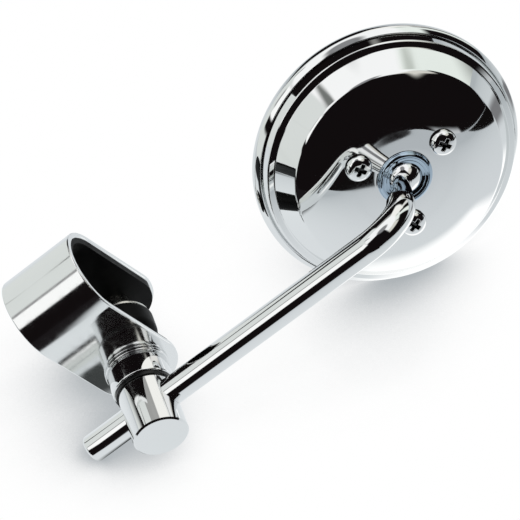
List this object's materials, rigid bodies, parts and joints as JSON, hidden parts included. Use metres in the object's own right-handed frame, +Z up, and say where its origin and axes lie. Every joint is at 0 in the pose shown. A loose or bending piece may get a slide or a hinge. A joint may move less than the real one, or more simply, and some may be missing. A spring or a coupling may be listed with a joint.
{
  "type": "clamp-on handlebar mirror",
  "caption": "Round chrome motorcycle mirror with a stepped back, a ball-jointed bent stem, a cross-drilled swivel post and a rubber-lined strap clamp for the handlebar.",
  "frame": {"origin": "centre of the clamp's bore, on the handlebar's axis", "axes": "+X along the bar and the stem towards the mirror, +Y along the clamp bolt towards its nut, +Z up, away from the bolt"},
  "size_m": [0.1792, 0.0868, 0.1246],
  "materials": {
    "chrome": "polished",
    "zinc_steel": "zinc plated",
    "rubber": "satin",
    "black_nylon": "matte",
    "white_nylon": "matte",
    "foam": "matte",
    "mirror": "silvered glass"
  },
  "bodies": {
    "clamp": {"clamp_strap": "chrome", "rubber_liner": "rubber", "lower_bush": "rubber", "bush_washer": "zinc_steel", "upper_sleeve": "zinc_steel", "flat_washer": "zinc_steel", "lock_washer": "zinc_steel"},
    "post": {"clamp_bolt": "chrome", "clamp_nut": "zinc_steel", "collar_washer": "chrome", "post_collar": "chrome", "seat_ring": "black_nylon"},
    "stem": {"stem_rod": "chrome", "ball_end": "chrome"},
    "ball_seat": {"friction_cup": "white_nylon"},
    "head": {"head_shell": "chrome", "rim_bezel": "chrome", "mirror_glass": "mirror", "glass_gasket": "rubber", "backing_pad": "foam", "retainer_plate": "zinc_steel", "tension_screws": "chrome", "screw_nuts": "zinc_steel"}
  },
  "joints": [
    {"name": "post_swivel", "type": "hinge", "parent": "clamp", "child": "post", "pos_m": [0, 0, -0.0324], "axis": [0, 1, 0], "continuous": true},
    {"name": "stem_turn", "type": "hinge", "parent": "post", "child": "stem", "pos_m": [0, -0.03405, -0.0324], "axis": [1, 0, 0], "continuous": true},
    {"name": "head_tilt", "type": "hinge", "parent": "stem", "child": "ball_seat", "pos_m": [0.1089, 0.00285, -0.05636], "axis": [0.7556, 0.3568, 0.5494], "range_deg": [-42, 2]},
    {"name": "head_pan", "type": "hinge", "parent": "ball_seat", "child": "head", "pos_m": [0.1089, 0.00285, -0.05636], "axis": [-0.6133, 0.0907, 0.7846], "range_deg": [-14, 14]}
  ]
}
